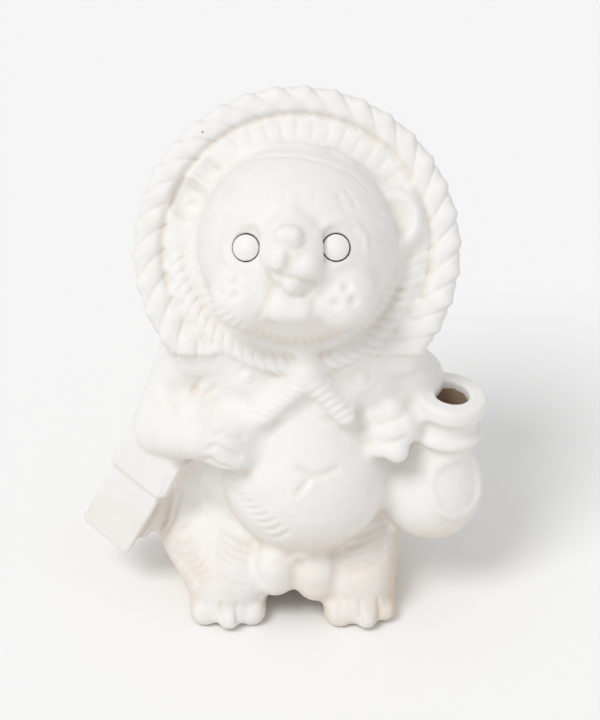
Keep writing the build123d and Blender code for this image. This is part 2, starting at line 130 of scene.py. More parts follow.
# Hood of straw and cloth between the hat's rim and the head
HOOD_RISE = 1.7
HOOD_SWELL = 6.0
HOOD_SWELL_R = 22.0
HOOD_FALL = 2.6
HOOD_SIDE_DROP = 2.4
HOOD_SIDE_TURN = (0.1, 0.35)
HOOD_SIDE_R = (23.5, 26.5)
HOOD_LOW_DROP = 2.0
HOOD_LOW_TURN = (-0.5, -0.1)
HOOD_EAR_DROP = 3.2
HOOD_EAR_REACH = (7, 12)
HOOD_EDGE_R = 32.0
HOOD_EDGE_CUT = 5.0
HOOD_EDGE_TURN = (-0.8, -0.5)
HOOD_INNER_R = 21.5
HOOD_BACK = 3.0
HOOD_STEEPNESS = 0.8

# Chest swell under the rope, in the camera's axes
SWELL_RX = 27.0
SWELL_RY = 16.0
SWELL_RZ = 12.5
SWELL_RISE = 2.0
SWELL_AHEAD = 2.0

# Tapered limbs that fill nodes out: place and radius at one end, and at the other, on the figure
LIMBS = {
    "torso": {
        "left_yoke": ((-24.0, -7.0, 65.8), 4.8, (-12.0, -7.4, 65.6), 5.6),
        "right_yoke": ((24.5, -7.0, 65.8), 4.8, (12.0, -7.4, 65.6), 5.6),
    },
    "arm_left": {"sleeve": ((-23.5, -7.6, 69.1), 3.8, (-26.0, -2.5, 57.0), 8.2)},
    "arm_right": {"sleeve": ((23.5, -7.6, 69.1), 3.8, (26.0, -2.5, 57.0), 8.2)},
    "rope_tail_left": {"tie": ((1.0, -16.4, 64.8), 2.3, (-8.2, -17.7, 56.2), 2.5)},
    "rope_tail_right": {"tie": ((4.2, -16.4, 64.8), 2.3, (11.0, -17.4, 56.8), 2.6)},
    "hand_left": {"back_of_hand": ((-23.2, -12.6, 52.5), 6.2, (-17.0, -17.0, 48.9), 6.5)},
    "leg_left": {"clay_behind_ledger": ((-25.0, -1.5, 33.0), 6.5, (-26.0, -3.0, 17.0), 6.5)},
}

# Balls that fill nodes out: place on the figure, and radius
BALLS = {
    "rope_knot": {"knot": ((2.6, -14.2, 67.0), 4.2)},
    "breast_left": {"breast": ((-10.9, -9.6, 62.3), 5.3)},
    "breast_right": {"breast": ((14.4, -9.2, 61.6), 5.0)},
    "hand_right": {
        "first_finger": ((22.0, -12.4, 54.5), 3.1),
        "second_finger": ((22.0, -15.3, 50.4), 3.0),
        "third_finger": ((23.1, -17.8, 46.8), 2.8),
    },
}

# Egg shapes that fill nodes out: place and radii in the head's axes
EGGS = {
    "snout": {
        "dome": ((-1.0, -1.8, 20.5), (7.0, 8.0, 5.4)),
        "left_lip": ((-4.2, -4.5, 22.2), (3.0, 3.3, 3.9)),
        "right_lip": ((2.0, -5.0, 22.4), (3.6, 3.7, 3.9)),
    },
}

# How far the masses reach beyond the box of their node
REACH = {
    "hat": 11.0,
    "snout": 6.0,
    "chin_rope": 4.0,
    "rope_knot": 5.0,
    "rope_tail_left": 5.0,
    "rope_tail_right": 5.0,
    "breast_left": 6.0,
    "breast_right": 6.0,
    "torso": 12.0,
    "arm_left": 10.0,
    "arm_right": 10.0,
    "hand_left": 8.0,
    "hand_right": 6.0,
    "leg_left": 22.0,
}

# Where the fillets are wide: round the hat's inside and round the soft forms, off the rope and the eyes
FILL_START = (17, 20)
FILL_END = (38, 40)
FILL_BACK = (-14, -10)
FILL_FRONT = (5, 8)
SHOULDER_TOP = (18, 22)
SHOULDER_BOTTOM = (27, 30)
SHOULDER_INNER = (13, 17)
SHOULDER_OUTER = (29, 32)
SHOULDER_BACK = (-16, -12)
SHOULDER_FRONT = (3, 6)
ROPE_CLEAR = (2.6, 4.6)
ROPE_TURN = (-0.1, 0.1)
SOFT = {
    "cheek_left": 9.0,
    "cheek_right": 9.0,
    "chin": 6.0,
    "breast_left": 9.0,
    "breast_right": 9.0,
    "hand_left": 6.0,
}
SOFT_FADE = 3.0
EYES = ("eye_left", "eye_right")
EYE_CLEAR = (5.8, 8.0)
EYE_SHARP = (4.6, 5.8)
EYE_BLOCK = 7.0
HAND_ROUNDS = 30
HAND_SOFT = (7.0, 10.5)
HAND_BLOCK = 12.0
STRAY_BAND = 0.1
STRAY_LEVEL = 1.0

# How the rays and the marks find the form
JUST_INSIDE = 1.001
TINY = 1e-9
FAR = 1e9
PRESS_REACH = 3
RAY_STEPS = 160
RAY_SHARE = 0.8
ON_FORM = 0.5
LINE_FINENESS = 4
LINE_END = 0.06

# Each mark: its line in the camera's picture, its width and its depth, raised where the depth is negative
MARKS = {
    "crease_over_head": (
        [(212, 172), (238, 161), (268, 156), (298, 156), (326, 163), (352, 174), (370, 191)], 0.7, 0.45),
    "roll_over_head": (
        [(203, 158), (228, 151), (262, 147), (296, 146), (330, 151), (356, 165), (380, 184)], 1.9, -1.2),
    "tuft_in_left_ear": ([(186, 199), (190, 204)], 2.0, -0.9),
    "forehead_tuft_1": ([(337, 193), (341, 199)], 0.7, 0.35),
    "forehead_tuft_2": ([(345, 189), (350, 195)], 0.6, 0.3),
    "forehead_tuft_3": ([(352, 199), (357, 207)], 0.7, 0.35),
    "forehead_tuft_4": ([(340, 205), (346, 210)], 0.7, 0.3),
    "under_nose": ([(289, 246), (294, 250), (300, 249), (306, 243)], 0.55, 0.6),
    "philtrum": ([(288, 253), (289, 264), (291, 277)], 0.65, 1.9),
    "notch_beside_philtrum": ([(279, 273), (285, 272)], 1.0, 0.7),
    "mouth_left": ([(269, 270), (276, 275), (284, 277), (291, 278)], 0.8, 1.1),
    "mouth_right": ([(291, 278), (299, 281), (307, 284), (313, 284)], 0.75, 1.0),
    "left_cheek_crease": ([(268, 272), (271, 288), (268, 299), (260, 317)], 0.8, 1.0),
    "right_mouth_corner": ([(314, 284), (310, 292), (304, 297)], 0.75, 0.9),
    "right_cheek_crease": ([(313, 298), (315, 306), (313, 315)], 1.0, 0.4),
    "round_tongue": ([(282, 281), (282, 289), (287, 296), (295, 298), (303, 295), (306, 289)], 0.55, 0.7),
    "left_lid": ([(258, 223), (243, 221), (229, 228), (222, 243), (225, 259), (235, 270)], 0.9, -0.7),
    "left_eye_hollow": ([(244, 247)], 4.2, 0.45),
    "right_lid": ([(318, 234), (328, 223), (342, 220), (356, 224), (365, 236), (367, 250)], 0.9, -0.7),
    "right_eye_hollow": ([(342, 247)], 4.2, 0.45),
    "outer_elbow_crease": ([(190, 394), (196, 389), (199, 381)], 0.7, 1.2),
    "inner_elbow_crease": ([(204, 394), (211, 391), (216, 385)], 0.7, 1.2),
    "left_finger_1": ([(217, 433), (224, 430), (233, 435), (243, 438)], 0.65, 1.4),
    "left_finger_2": ([(209, 449), (215, 446), (229, 453), (240, 457)], 0.65, 1.4),
    "left_finger_3": ([(203, 460), (210, 459), (217, 465), (229, 468)], 0.65, 1.4),
    "right_finger_1": ([(380, 424), (391, 422), (403, 417)], 0.55, 0.7),
    "right_finger_2": ([(383, 443), (394, 442), (406, 437)], 0.55, 0.7),
    "navel_fold": ([(298, 468), (306, 472), (314, 476), (323, 475), (337, 468)], 0.8, 1.2),
    "navel_left": ([(309, 479), (304, 486), (297, 494)], 0.8, 1.1),
    "navel_right": ([(316, 478), (322, 484), (328, 489)], 0.9, 0.35),
    "navel_swell": ([(311, 488), (309, 492)], 1.3, -0.5),
    "left_toe_1": ([(221, 603), (221, 612), (223, 628)], 0.55, 0.8),
    "left_toe_2": ([(236, 604), (237, 613), (238, 625)], 0.55, 0.8),
    "right_toe_1": ([(338, 604), (340, 613), (341, 622)], 0.5, 0.5),
    "right_toe_2": ([(359, 601), (360, 611), (361, 625)], 0.55, 0.8),
    "right_toe_3": ([(378, 599), (380, 611), (381, 626)], 0.55, 0.8),
    "fold_on_left_thigh": ([(203, 472), (202, 490), (205, 512)], 1.0, -0.5),
    "fold_at_left_shoulder": ([(151, 339), (153, 345), (156, 351)], 0.6, 0.5),
}

# Fur: the first and last stroke of each comb, how many strokes it has, their width and their depth
COMBS = {
    "belly_edge": (((226, 485), (240, 489)), ((272, 538), (289, 531)), 8, 0.55, 0.6),
    "left_thigh_side": (((176, 556), (191, 552)), ((197, 583), (211, 575)), 5, 0.65, 0.9),
    "left_thigh": (((224, 530), (250, 545)), ((216, 570), (246, 586)), 6, 0.75, 1.0),
    "left_hip": (((172, 528), (188, 523)), ((174, 545), (190, 539)), 2, 0.75, 0.45),
    "right_thigh": (((345, 541), (384, 526)), ((350, 572), (384, 557)), 5, 0.75, 0.9),
    "forehead": (((270, 194), (272, 206)), ((316, 188), (313, 200)), 4, 0.6, 0.14),
    "left_ear": (((186, 196), (197, 199)), ((185, 208), (197, 209)), 2, 0.7, -0.6),
    "right_ear": (((383, 214), (393, 219)), ((381, 225), (392, 228)), 2, 0.7, -0.6),
}
COMB_SAG = np.array([0.0, 2.0])

# Fringe of fur under the jaw, round the face's middle in the picture
FACE_MIDDLE = np.array([300.0, 247.0])
FRINGE_TURNS = (204, 336)
FRINGE_STROKES = 28
FRINGE_R = 90.0
FRINGE_SIDE_R = 11.0
FRINGE_LEAN = 3.0
FRINGE_BEND = 5.0
FRINGE_BEND_LEAN = 0.3
FRINGE_LENGTH = 11.0
FRINGE_WIDTH = 0.55
FRINGE_DEPTH = 0.42

# Whisker dimples: spot in the picture, and depth
DIMPLES = {
    "left_upper": ((233, 280), 1.0),
    "left_outer": ((220, 291), 1.0),
    "left_lower": ((234, 295), 1.6),
    "right_upper": ((346, 287), 1.6),
    "right_lower": ((335, 304), 1.6),
    "right_outer": ((354, 301), 1.6),
}
DIMPLE_WIDTH = 1.0
NIPPLES = {"left": (247, 377), "right": (362, 378)}
NIPPLE_RING = 9.0
NIPPLE_RING_POINTS = 17
NIPPLE_RING_WIDTH = 0.45
NIPPLE_RING_DEPTH = 0.28
NIPPLE_WIDTH = 0.7
NIPPLE_HEIGHT = 0.5

# Twist of the rope's tails: first and last rib in the picture, how many ribs, and how far each one drops
TIE_RIBS = {"left": ((299, 384), (257, 419), 7, -3), "right": ((316, 387), (352, 419), 6, 5)}
TIE_RIB_SPAN = (0.08, 0.92)
TIE_RIB_HALF = 8
TIE_RIB_WIDTH = 0.5
TIE_RIB_DEPTH = 0.55

# Lines between the ledger's pages: top and bottom in the picture
PAGES = {
    "front": ((167, 480), (138, 548)),
    "middle": ((174, 486), (147, 550)),
    "back": ((182, 488), (156, 550)),
}
PAGE_BOW = 3
PAGE_WIDTH = 0.6
PAGE_DEPTH = 0.8

# Pieces that are meshed on a coarser grid, and the share of a piece under which a loose bit is dropped
COARSE = {"torso": 1.35, "hat": 1.35}
CRUMB = 0.05

# The half-fine grid that finds the creases: rounds of softening, and its shift against the fine grid
CREASE_ROUNDS = 3
HALF_GRID_SHIFT = 0.25

# Bottle's bore, where the clay is bare
LEAN = math.radians(8.5)
BOTTLE_AXIS = np.array([math.sin(LEAN), 0.0, math.cos(LEAN)])
BOTTLE_BASE = FIGURE + np.array([30.28, -7.0, 18.2])
BOTTLE_HEIGHT = 38.0
BORE_R = 4.4
BORE_MARGIN = 0.6
BARE_BELOW_LIP = 2.0
BARE_ABOVE_FOOT = 5.0

# Joined field

boxes = np.array([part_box(name) for name in sorted(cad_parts)]) * MM
low = boxes[:, 0].min(axis=0) - MARGIN
high = boxes[:, 1].max(axis=0) + MARGIN
shape = tuple(int(n) for n in np.ceil((high - low) / VOXEL))


def triangles_of(mesh):
    """Vertices in voxels and triangles of a node's skin."""
    mesh.calc_loop_triangles()
    points = np.empty(len(mesh.vertices) * 3, np.float32)
    mesh.vertices.foreach_get("co", points)
    points = (points.reshape(-1, 3).astype(float) * MM - low) / VOXEL
    faces = np.empty(len(mesh.loop_triangles) * 3, np.int32)
    mesh.loop_triangles.foreach_get("vertices", faces)
    return points, faces.reshape(-1, 3)


def welded(points, faces):
    """The same skin with the vertices that share a place joined."""
    _, first, back = np.unique(np.round(points, 3), axis=0, return_index=True, return_inverse=True)
    faces = back.reshape(-1)[faces]
    proper = (faces[:, 0] != faces[:, 1]) & (faces[:, 1] != faces[:, 2]) & (faces[:, 2] != faces[:, 0])
    return points[first], faces[proper]


def shells(count, faces):
    """Label of the connected shell that each vertex belongs to."""
    label = np.arange(count)
    while True:
        low_label = label[faces].min(axis=1)
        new = label.copy()
        for corner in range(faces.shape[1]):
            np.minimum.at(new, faces[:, corner], low_label)
        new = new[new]
        if np.array_equal(new, label):
            return label
        label = new


def outer_shell(points, faces):
    """Leaves out the skin of a closed hollow."""
    label = shells(len(points), faces)
    spans = {k: np.ptp(points[label == k], axis=0).sum() for k in np.unique(label[faces])}
    keep = max(spans, key=spans.get)
    return faces[label[faces[:, 0]] == keep]


def level_set(points, tris=None, quads=None, reach=BAND):
    """Signed distance to a closed skin, in voxels."""
    skin = {"triangles": tris} if quads is None else {"quads": quads}
    return openvdb.FloatGrid.createLevelSetFromPolygons(
        points.astype(np.float32), halfWidth=reach / VOXEL, **skin)


def window(points, grow=BAND):
    """Slices of the joined field that hold these points and a margin."""
    start = np.maximum(np.floor(points.min(axis=0) - grow / VOXEL).astype(int), 0)
    stop = np.minimum(np.ceil(points.max(axis=0) + grow / VOXEL).astype(int) + 1, shape)
    return start, tuple(slice(a, b) for a, b in zip(start, stop))


def in_axes(grid, origin):
    """Coordinates to the right, up and towards the viewer of an upward-looking plane."""
    place = grid - origin
    return place @ RIGHT, place @ LOOK_TOP, place @ LOOK


def places_of(part):
    """Places of the voxels in a block of the field."""
    axes = [np.arange(s.start, s.stop) * VOXEL + low[k] for k, s in enumerate(part)]
    return np.stack(np.meshgrid(*axes, indexing="ij"), -1)


def block(centre, reach):
    """Slices round a place, and the places of their voxels."""
    part = window((np.array([centre - reach, centre + reach]) - low) / VOXEL, 0.0)[1]
    return part, places_of(part)


def step(value, start, end):
    """Smooth rise from 0 at start to 1 at end."""
    t = np.clip((value - start) / (end - start), 0, 1)
    return t * t * (3 - 2 * t)


def between(value, rise, fall):
    """1 between two smooth steps, and 0 outside them."""
    return step(value, *rise) * (1 - step(value, *fall))


def middle_of(name):
    """Middle of a node's box."""
    return np.mean(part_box(name), axis=0) * MM


def away_from(name, grid):
    """Distance from the middle of a node's box."""
    return np.linalg.norm(grid - middle_of(name), axis=-1)


def rope_axes(grid):
    """Turn about the chin rope's ring, distance out from the ring and distance in front of it."""
    x, y, z = in_axes(grid, CHIN_ROPE)
    up = y * math.cos(CHIN_ROPE_TILT) + z * math.sin(CHIN_ROPE_TILT)
    ahead = z * math.cos(CHIN_ROPE_TILT) - y * math.sin(CHIN_ROPE_TILT)
    return np.arctan2(up, x), np.hypot(x, up) - CHIN_ROPE_R, ahead


def rope_tube(grid):
    """Chin rope at its full thickness, from ear to ear."""
    turn, off, ahead = rope_axes(grid)
    tube = np.hypot(off, ahead - CHIN_ROPE_LIFT) - CHIN_ROPE_THICK
    return np.maximum(tube, CHIN_ROPE_CUT * (np.sin(turn) - CHIN_ROPE_TOP))


def hood(grid):
    """Straw and cloth that run from the hat's rim up to the head, low beside the ears and the rope."""
    x, y, z = in_axes(grid, HAT)
    radius = np.hypot(x, y)
    up_share = y / np.maximum(radius, 1.0)
    side = 1 - step(up_share, *HOOD_SIDE_TURN)
    below = 1 - step(up_share, *HOOD_LOW_TURN)
    rise = HOOD_RISE + HOOD_SWELL * np.exp((HOOD_SWELL_R - radius) / HOOD_FALL)
    rise = rise - HOOD_SIDE_DROP * side * step(radius, *HOOD_SIDE_R) - HOOD_LOW_DROP * below
    rise -= HOOD_EAR_DROP * (1 - step(away_from("ear_left", grid), *HOOD_EAR_REACH))
    edge = HOOD_EDGE_R - HOOD_EDGE_CUT * (1 - step(up_share, *HOOD_EDGE_TURN))
    across = np.maximum(radius - edge, HOOD_INNER_R - radius)
    return np.maximum.reduce([HOOD_STEEPNESS * (z - rise), across, -HOOD_BACK - z])


def chest_swell(grid):
    """Chest and shoulders, one smooth swell under the rope."""
    x, y, z = in_axes(grid, CHEST)
    across = (x / SWELL_RX) ** 4
    up = ((y - SWELL_RISE) / SWELL_RY) ** 2
    ahead = ((z - SWELL_AHEAD) / SWELL_RZ) ** 2
    return SWELL_RZ * (np.sqrt(across + up + ahead) - 1)


def egg(grid, centre, radii):
    """About the distance to an egg shape in the head's axes."""
    place = in_axes(grid, HEAD)
    share = np.sqrt(sum(((v - c) / r) ** 2 for v, c, r in zip(place, centre, radii)))
    return min(radii) * (share - 1)


def limb(grid, start, start_r, end, end_r):
    """Distance to a tapered limb between two places of the figure."""
    start = FIGURE + np.array(start)
    run = FIGURE + np.array(end) - start
    along = np.clip(((grid - start) @ run) / (run @ run), 0, 1)
    radius = start_r + (end_r - start_r) * along
    return np.linalg.norm(grid - start - along[..., None] * run, axis=-1) - radius


def ball(grid, centre, radius):
    """Distance to a ball at a place of the figure."""
    return np.linalg.norm(grid - FIGURE - np.array(centre), axis=-1) - radius


SHAPED = {"hat": hood, "chin_rope": rope_tube, "torso": chest_swell}


def masses(name, grid):
    """Distance to each of the masses that fill a node out."""
    if name in SHAPED:
        yield SHAPED[name](grid)
    for shapes, distance in ((LIMBS, limb), (BALLS, ball), (EGGS, egg)):
        for sizes in shapes.get(name, {}).values():
            yield distance(grid, *sizes)


HOLLOW = {"torso", "head"}
NO_OWNER = 255
cast_nodes = sorted(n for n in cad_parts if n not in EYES)
nearest = np.full(shape, BAND, np.float32)
second = np.full(shape, BAND, np.float32)
owner = np.full(shape, NO_OWNER, np.uint8)
fields = {}
for index, name in enumerate(cast_nodes):
    points, faces = welded(*triangles_of(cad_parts[name].data))
    if name in HOLLOW:
        faces = outer_shell(points, faces)
    start, part = window(points, REACH.get(name, BAND))
    local = np.empty(tuple(s.stop - s.start for s in part), np.float32)
    level_set(points, tris=faces).copyToArray(local, ijk=tuple(int(v) for v in start))
    local *= VOXEL
    if name in REACH:
        for mass in masses(name, places_of(part)):
            local = np.minimum(local, mass).astype(np.float32)
    fields[name] = (start, part, local)
    closer = local < nearest[part]
    second[part] = np.where(closer, nearest[part], np.minimum(second[part], local))
    nearest[part] = np.where(closer, local, nearest[part])
    owner[part][closer] = index


def polygons(values, level=0.0):
    """Quads of a field's surface, in voxels of that field."""
    grid = openvdb.FloatGrid(BAND)
    grid.copyFromArray(np.ascontiguousarray(values, np.float32))
    return grid.convertToQuads(isovalue=level)


def soften(values, times):
    """Rounds a field's edges."""
    for _ in range(times):
        for axis in range(3):
            beside = np.roll(values, 1, axis)
            beside += np.roll(values, -1, axis)
            values = 0.5 * values + 0.25 * beside
    return values


def distance_to(values, level, reach):
    """Signed distance to a field's surface at a level, in millimetres."""
    points, quads = polygons(values, level)
    away = np.empty(shape, np.float32)
    level_set(points, quads=quads, reach=reach).copyToArray(away)
    return away * VOXEL


def fill_shares():
    """Where the fillets are wide, and where they are widest."""
    wide_share = np.zeros(shape, np.float32)
    shoulder_share = np.zeros(shape, np.float32)
    part, grid = block(HAT, HAT_BLOCK)
    x, y, z = in_axes(grid, HAT)
    wide_share[part] = between(np.hypot(x, y), FILL_START, FILL_END) * between(z, FILL_BACK, FILL_FRONT)
    shoulder = between(-y, SHOULDER_TOP, SHOULDER_BOTTOM)
    shoulder *= between(np.abs(x), SHOULDER_INNER, SHOULDER_OUTER)
    shoulder_share[part] = shoulder * between(z, SHOULDER_BACK, SHOULDER_FRONT)
    turn, off, ahead = rope_axes(grid)
    by_rope = (1 - step(np.hypot(off, ahead), *ROPE_CLEAR)) * step(-np.sin(turn), *ROPE_TURN)
    wide_share[part] *= 1 - by_rope
    shoulder_share[part] *= 1 - by_rope
    for name, reach in SOFT.items():
        part, grid = block(middle_of(name), reach + SOFT_FADE)
        soft = 1 - step(away_from(name, grid), reach, reach + SOFT_FADE)
        wide_share[part] = np.maximum(wide_share[part], soft)
    for name in EYES:
        part, grid = block(middle_of(name), EYE_CLEAR[1])
        wide_share[part] *= step(away_from(name, grid), *EYE_CLEAR)
    return wide_share, shoulder_share


def filled_form():
    """The joined form. Its creases fill as slip does: it grows, and comes back by the same distance."""
    narrow = distance_to(nearest, CREASE_R, BAND + CREASE_R)
    wide = distance_to(narrow, WIDE_CREASE_R - CREASE_R, BAND + WIDE_CREASE_R)
    widest = distance_to(wide, SHOULDER_R - WIDE_CREASE_R, BAND + SHOULDER_R)
    wide_share, shoulder_share = fill_shares()
    joined = (narrow + CREASE_R) * (1 - wide_share) + (wide + WIDE_CREASE_R) * wide_share
    joined = joined * (1 - shoulder_share) + (widest + SHOULDER_R) * shoulder_share
    joined = soften(np.clip(joined, -BAND, BAND), SOFTENING)
    for name in EYES:
        part, grid = block(middle_of(name), EYE_BLOCK)
        sharp = 1 - step(away_from(name, grid), *EYE_SHARP)
        joined[part] = joined[part] * (1 - sharp) + nearest[part] * sharp
    part, grid = block(middle_of("hand_left"), HAND_BLOCK)
    soft = 1 - step(away_from("hand_left", grid), *HAND_SOFT)
    joined[part] = joined[part] * (1 - soft) + soften(joined[part], HAND_ROUNDS) * soft
    return joined


form = filled_form()

# Fill that lies beyond every node's reach goes to the torso
start, part, local = fields["torso"]
stray = (nearest[part] > BAND - STRAY_BAND) & (form[part] < STRAY_LEVEL)
local[stray] = 0.0
nearest[part][stray] = 0.0
second[part][stray] = BAND
owner[part][stray] = cast_nodes.index("torso")

# Marks pressed into the form


def interpolated(values, at):
    """Values of a field at places between its voxels."""
    at = np.clip(at, 0, np.array(values.shape) - JUST_INSIDE)
    base = at.astype(int)
    share = at - base
    total = 0.0
    for corner in np.ndindex(2, 2, 2):
        weight = np.prod(np.abs(1 - np.array(corner) - share), axis=-1)
        total = total + weight * values[tuple(np.moveaxis(base + corner, -1, 0))]
    return total


def sampled(places):
    """Values of the form at places in millimetres."""
    return interpolated(form, (places - low) / VOXEL)


def cast(origin, direction):
    """First places where rays meet the form."""
    slope = np.where(np.abs(direction) < TINY, TINY, direction)
    way = np.minimum((low - origin) / slope, (high - origin) / slope).max(axis=-1)
    for _ in range(RAY_STEPS):
        way = way + RAY_SHARE * sampled(origin + direction * way[..., None])
    return origin + direction * way[..., None]


def seen(pixels):
    """Places on the form under points of the camera's picture."""
    pixels = np.asarray(pixels, float)
    across = (pixels[..., :1] - FRAME_W / 2) / FOCAL * RIGHT
    up = (FRAME_H / 2 - pixels[..., 1:2]) / FOCAL * LOOK_TOP
    ray = across + up - LOOK
    ray /= np.linalg.norm(ray, axis=-1, keepdims=True)
    return cast(np.broadcast_to(EYE, ray.shape), ray)


def press(line, width, depth, taper=True):
    """Presses a line into the form, or raises it where depth is negative."""
    line = np.atleast_2d(np.asarray(line, float))
    part = window((line - low) / VOXEL, PRESS_REACH * width)[1]
    grid = places_of(part)
    best = np.full(grid.shape[:3], FAR)
    along = np.zeros(grid.shape[:3])
    count = max(1, len(line) - 1)
    for k in range(count):
        a = line[k]
        run = line[min(k + 1, len(line) - 1)] - a
        t = np.clip(((grid - a) @ run) / max(run @ run, TINY), 0, 1)
        gap = ((grid - a - t[..., None] * run) ** 2).sum(-1)
        nearer = gap < best
        best[nearer] = gap[nearer]
        along[nearer] = ((k + t) / count)[nearer]
    strength = np.exp(-best / width**2)
    if taper and len(line) > 1:
        inset = LINE_END + (1 - 2 * LINE_END) * along
        strength *= np.sqrt(np.clip(np.sin(math.pi * inset), 0, 1))
    form[part] += (depth * strength).astype(np.float32)


def draw(pixels, width, depth, taper=True):
    """Presses a line that is drawn in the camera's picture."""
    pixels = np.asarray(pixels, float)
    spans = len(pixels) - 1
    if spans:
        fine = np.linspace(0, spans, LINE_FINENESS * spans + 1)
        pixels = np.stack([np.interp(fine, np.arange(spans + 1), pixels[:, k]) for k in (0, 1)], -1)
    places = seen(pixels)
    places = places[np.abs(sampled(places)) < ON_FORM]
    if len(places):
        press(places, width, depth, taper)


def along_way(first, last, share):
    """Place at a share of the way between two."""
    return np.array(first) * (1 - share) + np.array(last) * share


def comb_straw():
    """Straw ribs on both faces of the hat."""
    part, grid = block(HAT, STRAW_BLOCK)
    x, y, z = in_axes(grid, HAT)
    radius = np.hypot(x, y)
    turn = np.arctan2(y, x)
    wave = np.clip(np.cos(STRAW * turn), 0, 1) ** STRAW_SHARPNESS
    inside = between(radius, STRAW_IN_START, STRAW_IN_END) * between(z, STRAW_IN_BACK, STRAW_IN_FRONT)
    inside *= step(np.sin(turn), *STRAW_IN_TURN)
    outside = between(radius, STRAW_OUT_START, STRAW_OUT_END) * (1 - step(z, *STRAW_OUT_FRONT))
    outside *= owner[part] == cast_nodes.index("hat")
    rows = STITCH_DEPTH * np.clip(np.cos(2 * math.pi * radius / STITCH_ROW), 0, 1) ** STITCH_SHARPNESS
    relief = STRAW_IN_DEPTH * wave * inside + (STRAW_OUT_DEPTH * wave + rows) * outside
    form[part] += relief.astype(np.float32)


def groove_rim():
    """Grooves between the lobes of the rope round the hat, and the seam inside it."""
    part, grid = block(HAT, HAT_BLOCK)
    x, y, z = in_axes(grid, HAT)
    off = np.hypot(x, y) - RIM_R
    lay = RIM_LOBES * (np.arctan2(y, x) - RIM_SLANT * off / RIM_R)
    near = (1 - step(np.hypot(off, z), *RIM_NEAR)) * step(z, *RIM_BACK)
    near *= owner[part] == cast_nodes.index("hat_rim")
    grooves = RIM_GROOVE * np.clip(-np.cos(lay), 0, 1) ** RIM_GROOVE_SHARPNESS * near
    form[part] += grooves.astype(np.float32)
    seam = np.exp(-((off + RIM_SEAM) / RIM_SEAM_WIDTH) ** 2)
    seam = seam * step(z, *RIM_SEAM_FRONT) * step(y, *RIM_SEAM_ABOVE)
    form[part] += (RIM_SEAM_DEPTH * seam).astype(np.float32)


def twist_rope():
    """Strands laid round the chin rope."""
    part, grid = block(CHIN_ROPE, CHIN_ROPE_BLOCK)
    turn, off, ahead = rope_axes(grid)
    lay = turn * CHIN_ROPE_R / STRAND * 2 * math.pi + STRANDS * np.arctan2(ahead, off)
    near = (1 - step(np.hypot(off, ahead), *STRAND_NEAR)) * step(-np.sin(turn), *STRAND_TURN)
    form[part] += (STRAND_DEPTH * np.clip(np.cos(lay), 0, 1) ** 2 * near).astype(np.float32)


def fringe_jaw():
    """Fringe of fur under the jaw."""
    for turn in np.radians(np.linspace(*FRINGE_TURNS, FRINGE_STROKES)):
        out = np.array([math.cos(turn), -math.sin(turn)])
        lean = np.array([-out[1], out[0]]) * (FRINGE_LEAN if turn < 1.5 * math.pi else -FRINGE_LEAN)
        root = FACE_MIDDLE + (FRINGE_R + FRINGE_SIDE_R * out[0] ** 2) * out
        bend = root + FRINGE_BEND * out + FRINGE_BEND_LEAN * lean
        draw([root, bend, root + FRINGE_LENGTH * out + lean], FRINGE_WIDTH, FRINGE_DEPTH)


comb_straw()
groove_rim()
twist_rope()
for line, width, depth in MARKS.values():
    draw(line, width, depth)
for first, last, count, width, depth in COMBS.values():
    for share in np.linspace(0, 1, count):
        ends = along_way(first, last, share)
        draw([ends[0], ends.mean(axis=0) + COMB_SAG, ends[1]], width, depth)
fringe_jaw()
for spot, depth in DIMPLES.values():
    press(seen([spot]), DIMPLE_WIDTH, depth)
for spot in NIPPLES.values():
    turns = np.radians(np.linspace(0, 360, NIPPLE_RING_POINTS))
    ring = np.array(spot) + NIPPLE_RING * np.stack([np.cos(turns), np.sin(turns)], -1)
    draw(ring, NIPPLE_RING_WIDTH, NIPPLE_RING_DEPTH, taper=False)
    press(seen([spot]), NIPPLE_WIDTH, -NIPPLE_HEIGHT)
for first, last, count, drop in TIE_RIBS.values():
    for share in np.linspace(*TIE_RIB_SPAN, count):
        middle = along_way(first, last, share)
        half_rib = np.array([TIE_RIB_HALF, -drop])
        draw([middle - half_rib, middle, middle + half_rib], TIE_RIB_WIDTH, TIE_RIB_DEPTH)
for top, bottom in PAGES.values():
    draw([top, along_way(top, bottom, 0.5) + PAGE_BOW, bottom], PAGE_WIDTH, PAGE_DEPTH)

# Pieces


def resized(values, factor):
    """A field on a coarser grid."""
    for axis in range(3):
        count = int(values.shape[axis] / factor)
        at = np.minimum(np.arange(count) * factor, values.shape[axis] - JUST_INSIDE)
        base = at.astype(int)
        share = (at - base).astype(np.float32).reshape([-1 if k == axis else 1 for k in range(3)])
        values = np.take(values, base, axis) * (1 - share) + np.take(values, base + 1, axis) * share
    return values


def piece_skin(name):
    """Points and quads of the part of the form that belongs to a node, run a little under its neighbours."""
    index = cast_nodes.index(name)
    start, part, own = fields[name]
    others = np.where(owner[part] == index, second[part], nearest[part])
    border = (own - others) / 2
    skin = form[part] + UNDERCUT * np.maximum(border, 0)
    skin = np.maximum(skin, border - UNDERLAP)
    factor = COARSE.get(name, 1.0)
    if factor != 1.0:
        skin = resized(skin, factor)
    for axis in range(3):
        edge = np.moveaxis(skin, axis, 0)
        edge[[0, -1]] = np.maximum(edge[[0, -1]], VOXEL)
    points, quads = polygons(skin)
    label = shells(len(points), quads)
    sizes = np.bincount(label[quads[:, 0]], minlength=len(points))
    quads = quads[sizes[label[quads[:, 0]]] > CRUMB * len(quads)]
    used, quads = np.unique(quads, return_inverse=True)
    points = (points[used] * factor + start) * VOXEL + low
    return points, quads.reshape(-1, 4)


